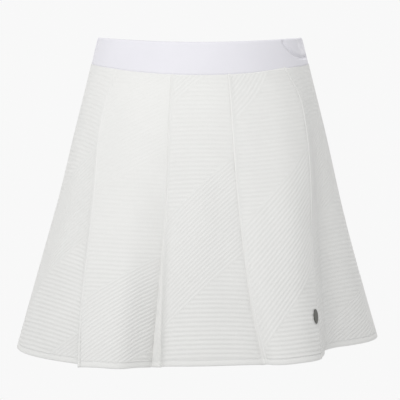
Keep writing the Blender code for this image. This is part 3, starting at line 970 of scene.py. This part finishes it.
class SKIRT_OT_waistband(bpy.types.Operator):
    """Makes the two halves of the smooth contour waistband"""
    bl_idname = "skirt.waistband"
    bl_label = "Make Waistband"

    # Share of the height down and height above the cloth's plane. The foot hangs over the
    # tops of the gores, which stand in the pocket behind it.
    FOOT = ((0.90, -0.0005), (0.995, -0.0003), (1.006, 0.0000), (1.003, 0.0003), (0.98, 0.0004))
    TOP = ((0.05, 0.0000), (0.022, -0.0002), (0.008, -0.0006), (0.0, -0.0011), (0.008, -0.0016),
           (0.022, -0.0020), (0.05, -0.0022))
    INSIDE = ((0.30, -0.0022), (0.60, -0.0022), (0.89, -0.0022), (0.90, -0.0019))
    OUTSIDE_ROWS = 30
    LENGTH_POINTS = 101
    # Share of the height down at which the outside is fullest, and how far it stands out
    FULLEST = (0.3, 0.0003)
    WRINKLES = (
        Wrinkle(0.0025, 0.0021, ((52, 0.10), (54, 0.28), (57.5, 0.46), (62, 0.60), (67, 0.69),
                                 (74, 0.73), (84, 0.71))),
        Wrinkle(0.0012, 0.0026, ((118, 0.10), (113, 0.35), (106, 0.58), (96, 0.66))),
        Wrinkle(0.0009, 0.0030, ((236, 0.55), (246, 0.38), (258, 0.33))),
    )
    LEANS = (Lean(78, 0.12, 0.0045, 0.015), Lean(102, 0.08, 0.0022, 0.015),
             Lean(-84, 0.10, 0.0022, 0.016))
    # Metres for a degree round the band and for the whole height down
    SPAN = (0.0021, -0.038)

    def execute(self, context):
        band = context.scene.skirt_band
        cloth = knit_material("smooth_white_band", band.colour, band.colour, roughness=0.62,
                              stitch_width=0.0006, bump_depth=0.00006)
        for name, start in (("waistband_front", -90), ("waistband_back", 90)):
            piece = add_piece(self.half_band(band, start), name + "_cloth", cloth)
            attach(piece, "root")
            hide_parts(name)
            length = self.arc_length(start)
        return {"FINISHED"}

    def arc_length(self, start):
        across = np.linspace(0, 1, self.LENGTH_POINTS)
        return line_length(band_points(across, np.full(self.LENGTH_POINTS, 0.5), start))

    def profile(self):
        low, high = self.FOOT[-1][0], self.TOP[0][0]
        shares = np.linspace(low, high, self.OUTSIDE_ROWS + 2)[1:-1]
        fullest, fullness = self.FULLEST
        heights = np.interp(shares, (high, fullest, low), (0, fullness, self.FOOT[-1][1]))
        return [*self.FOOT, *zip(shares, heights), *self.TOP, *self.INSIDE]

    def half_band(self, band, start):
        bm = bmesh.new()
        profile = self.profile()
        rows = len(profile)
        bmesh.ops.create_grid(bm, x_segments=band.steps, y_segments=rows, size=0.5)
        verts = list(bm.verts)
        columns = np.array([v.co.x + 0.5 for v in verts])
        numbers = [round((v.co.y + 0.5) * rows) % rows for v in verts]
        down, out = np.array([profile[n] for n in numbers]).T
        length = self.arc_length(start)
        layer = bm.loops.layers.uv.new("cloth")
        flat_x, flat_y = columns * length, -down * BAND_FOOT_AT_SIDE
        for index, vert in enumerate(verts):
            for loop in vert.link_loops:
                loop[layer].uv = (flat_x[index], flat_y[index])
        out = out - self.sink(columns, down, start)
        places = band_points(columns, down, start)
        normals = outward(lambda a, d: band_points(a, d, start), columns, down)
        for vert, place in zip(verts, places + normals * out[:, None]):
            vert.co = place
        bmesh.ops.remove_doubles(bm, verts=verts, dist=1e-6)
        bmesh.ops.holes_fill(bm, edges=[e for e in bm.edges if e.is_boundary], sides=0)
        bmesh.ops.recalc_face_normals(bm, faces=list(bm.faces))
        return bm

    def sink(self, across, down, start):
        """How far wrinkles and leaning corners take the band in."""
        span = np.array(self.SPAN)
        x, y = np.column_stack((start + 180 * across, down)).T * span[:, None]
        sink = np.zeros(len(across))
        for wrinkle in self.WRINKLES:
            if start <= wrinkle.path[0][0] <= start + 180:
                path = np.array(wrinkle.path) * span
                distances = [line_distance(x, y, a, b)[0] for a, b in zip(path, path[1:])]
                nearest = np.min(distances, axis=0)
                sink = np.maximum(sink, wrinkle.depth * np.exp(-(nearest / wrinkle.width) ** 2))
        for lean in self.LEANS:
            if start <= lean.angle <= start + 180:
                away = np.hypot(x - lean.angle * span[0], y - lean.down * span[1])
                sink = sink + lean.depth * np.exp(-(away / lean.width) ** 2)
        return sink


# A line of stitches: its distance from the edge, its height above the cloth's plane, its two
# ends as shares of the length or of the width, and the points that it is laid through
StitchLine = namedtuple("StitchLine", "distance height start end points")


class SKIRT_OT_stitching(bpy.types.Operator):
    """Sews the lapped seams and the hem"""
    bl_idname = "skirt.stitching"
    bl_label = "Sew"

    SEAM_LINE = StitchLine(0.0019, 0.0003, 0.004, 0.998, 150)
    HEM_LINE = StitchLine(0.0067, -0.0002, 0.012, 0.988, 80)

    def execute(self, context):
        sewing = context.scene.skirt_sewing
        thread = thread_material(sewing.colour)
        for name in GORE_NAMES:
            bm = bmesh.new()
            self.sew_gore(bm, flat_gore(name), sewing)
            piece = add_piece(bm, name + "_stitches", thread, smooth_angle=180)
            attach(piece, "root")
        return {"FINISHED"}

    def sew_gore(self, bm, flat, sewing):
        line = self.SEAM_LINE
        down = np.linspace(line.start, line.end, line.points)
        share = line.distance / flat.width(down)
        for lapped, across in zip(GORES[flat.name].laps, (share, 1 - share)):
            if lapped:
                self.sew_line(bm, flat, across, down, line.height, sewing)
        line = self.HEM_LINE
        across = np.linspace(line.start, line.end, line.points)
        down = np.full(line.points, 1 - line.distance / flat.length)
        self.sew_line(bm, flat, across, down, line.height, sewing)

    def sew_line(self, bm, flat, across, down, height, sewing):
        x, y = np.array([flat.place(a, d) for a, d in zip(across, down)]).T
        lift = height + crease_heights(flat, x, y)
        _, outs = flat.worn(across, down)
        add_from(bm, sewn_thread(flat.bend(x, y, lift), outs, sewing))


class SKIRT_OT_stud(bpy.types.Operator):
    """Makes the plain oval stud near the hem"""
    bl_idname = "skirt.stud"
    bl_label = "Make Stud"

    # Its middle, as shares of the front left gore's width and length, and the height of its back
    ACROSS = 0.92
    DOWN = 0.855
    SEAT = 0.0006
    SIDES = 48
    # Share of the radius and share of the thickness, from the back out over the rim
    PROFILE = ((0.90, 0.0), (0.98, 0.25), (1.0, 0.5), (0.97, 0.85), (0.90, 1.0), (0.80, 0.95),
               (0.74, 0.70), (0.60, 0.78), (0.35, 0.90))

    def execute(self, context):
        stud = context.scene.skirt_stud
        flat = flat_gore("gore_front_left")
        centre = flat.place(self.ACROSS, self.DOWN)
        bm = bmesh.new()
        bmesh.ops.create_circle(bm, cap_ends=True, radius=self.PROFILE[0][0], segments=self.SIDES)
        face = next(iter(bm.faces))
        for radius, rise in self.PROFILE[1:]:
            grown = bmesh.ops.extrude_face_region(bm, geom=[face])
            face = next(item for item in grown["geom"] if isinstance(item, bmesh.types.BMFace))
            for vert in face.verts:
                vert.co = vert.co.xy.normalized().to_3d() * radius
                vert.co.z = rise
        bmesh.ops.poke(bm, faces=[face])
        bmesh.ops.holes_fill(bm, edges=[e for e in bm.edges if e.is_boundary], sides=0)
        bmesh.ops.recalc_face_normals(bm, faces=list(bm.faces))
        shape = np.array([v.co for v in bm.verts])
        x = centre[0] + shape[:, 0] * stud.width / 2
        y = centre[1] + shape[:, 1] * stud.height / 2
        out = self.SEAT + shape[:, 2] * stud.thickness + crease_heights(flat, x, y)
        for vert, place in zip(bm.verts, flat.bend(x, y, out)):
            vert.co = place
        piece = add_piece(bm, "plain_oval_stud", stud_material(stud.colour), smooth_angle=60)
        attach(piece, "root")
        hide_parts("hem_stud")
        return {"FINISHED"}


Lamp = namedtuple("Lamp", "place size")


class SKIRT_OT_stage(bpy.types.Operator):
    """Sets up the pale studio, the soft lights and the camera"""
    bl_idname = "skirt.stage"
    bl_label = "Set Up Stage"

    # The studio bowl: a flat floor, a round bend and a wall, with the floor at FLOOR_HEIGHT
    FLOOR_RADIUS = 4.4
    BEND_RADIUS = 1.6
    WALL_HEIGHT = 6.0
    FLOOR_HEIGHT = -1.0
    BEND_POINTS = 13
    BOWL_SIDES = 72
    KEY = Lamp((-0.20, -0.95, 0.55), 0.7)
    REAR = Lamp((0.45, 1.30, 0.60), 0.9)
    LAMPS_AIM_AT = (0, 0, -0.2)
    # Width of the picture in pixels, and of the camera's sensor in millimetres
    PICTURE_WIDTH = 400
    SENSOR_WIDTH = 36

    def execute(self, context):
        stage = context.scene.skirt_stage
        context.scene.view_settings.view_transform = "Standard"
        self.add_backdrop(stage)
        world = bpy.data.worlds.new("studio_air")
        context.scene.world = world
        world.use_nodes = True
        air = world.node_tree.nodes["Background"]
        set_inputs(air, {"Color": (1, 1, 1, 1), "Strength": stage.ambient})
        self.add_area("key", self.KEY, stage.key)
        self.add_area("rear", self.REAR, stage.rear_lamp)
        self.add_camera(context, stage)
        return {"FINISHED"}

    def add_backdrop(self, stage):
        """Round studio bowl: a flat floor that curves up into the wall."""
        bm = bmesh.new()
        turns = np.linspace(0, math.pi / 2, self.BEND_POINTS)
        bend = [(self.FLOOR_RADIUS + self.BEND_RADIUS * math.sin(turn),
                 self.BEND_RADIUS * (1 - math.cos(turn))) for turn in turns]
        profile = [(0, 0), *bend, (self.FLOOR_RADIUS + self.BEND_RADIUS, self.WALL_HEIGHT)]
        points = [bm.verts.new((radius, 0, self.FLOOR_HEIGHT + rise)) for radius, rise in profile]
        edges = [bm.edges.new(pair) for pair in zip(points, points[1:])]
        bmesh.ops.spin(bm, geom=points + edges, cent=(0, 0, 0), axis=(0, 0, 1),
                       angle=2 * math.pi, steps=self.BOWL_SIDES, use_merge=True)
        bmesh.ops.remove_doubles(bm, verts=list(bm.verts), dist=1e-5)
        bmesh.ops.recalc_face_normals(bm, faces=list(bm.faces))
        material, tree, shader = new_material("pale_backdrop", (0, 0, 0), roughness=1)
        set_inputs(shader, {"Emission Color": (1, 1, 1, 1), "Specular IOR Level": 0})
        place = tree.nodes.new("ShaderNodeSeparateXYZ")
        tree.links.new(tree.nodes.new("ShaderNodeTexCoord").outputs["Object"], place.inputs[0])
        lit = math_node(tree, "MULTIPLY_ADD", place.outputs["Y"], stage.rear, stage.ambient)
        lit = math_node(tree, "MULTIPLY_ADD", place.outputs["X"], stage.side, lit)
        seen = tree.nodes.new("ShaderNodeLightPath").outputs["Is Camera Ray"]
        glow = tree.nodes.new("ShaderNodeMix")
        glow.inputs["B"].default_value = stage.backdrop
        tree.links.new(seen, glow.inputs["Factor"])
        tree.links.new(lit, glow.inputs["A"])
        tree.links.new(glow.outputs["Result"], shader.inputs["Emission Strength"])
        floor = add_piece(bm, "studio_floor", material, smooth_angle=180)

    def add_area(self, name, lamp, power):
        light = bpy.data.lights.new(name, "AREA")
        light.energy = power
        light.size = lamp.size
        stand = bpy.data.objects.new(name, light)
        stand.location = lamp.place
        aim = Vector(self.LAMPS_AIM_AT) - Vector(lamp.place)
        stand.rotation_euler = aim.to_track_quat("-Z", "Y").to_euler()
        stand.visible_camera = False
        bpy.context.scene.collection.objects.link(stand)

    def add_camera(self, context, stage):
        lens = bpy.data.cameras.new("camera")
        lens.sensor_width = self.SENSOR_WIDTH
        picture_width = self.PICTURE_WIDTH * stage.metres_per_pixel
        lens.lens = lens.sensor_width * stage.camera_distance / picture_width
        camera = bpy.data.objects.new("camera", lens)
        camera.location = (0, -stage.camera_distance, 0)
        camera.rotation_euler = (math.radians(90 - stage.camera_pitch), 0, 0)
        context.scene.collection.objects.link(camera)
        context.scene.camera = camera


class SKIRT_PT_panel(bpy.types.Panel):
    """Lists the steps of making the skirt"""
    bl_label = "Flared Golf Skirt"
    bl_idname = "SKIRT_PT_panel"
    bl_space_type = "VIEW_3D"
    bl_region_type = "UI"
    bl_category = "Skirt"

    def draw(self, context):
        layout = self.layout
        for step in STEPS:
            layout.operator(step.bl_idname)
        for group in SETTINGS:
            box = layout.box()
            settings = getattr(context.scene, group)
            for name in settings.bl_rna.properties.keys():
                if name not in ("rna_type", "name"):
                    box.prop(settings, name)


SETTINGS = {
    "skirt_ribs": SkirtRibs,
    "skirt_band": SkirtBand,
    "skirt_sewing": SkirtSewing,
    "skirt_stud": SkirtStud,
    "skirt_stage": SkirtStage,
}
STEPS = (SKIRT_OT_stage, SKIRT_OT_waistband, SKIRT_OT_gores, SKIRT_OT_stitching, SKIRT_OT_stud)
CLASSES = (*SETTINGS.values(), *STEPS, SKIRT_PT_panel)


def register():
    for cls in CLASSES:
        bpy.utils.register_class(cls)
    for name, group in SETTINGS.items():
        setattr(bpy.types.Scene, name, PointerProperty(type=group))


def unregister():
    for name in SETTINGS:
        delattr(bpy.types.Scene, name)
    for cls in reversed(CLASSES):
        bpy.utils.unregister_class(cls)


def main():
    register()
    bpy.ops.skirt.stage()
    bpy.ops.skirt.waistband()
    bpy.ops.skirt.gores()
    bpy.ops.skirt.stitching()
    bpy.ops.skirt.stud()


if __name__ == "__main__":
    main()
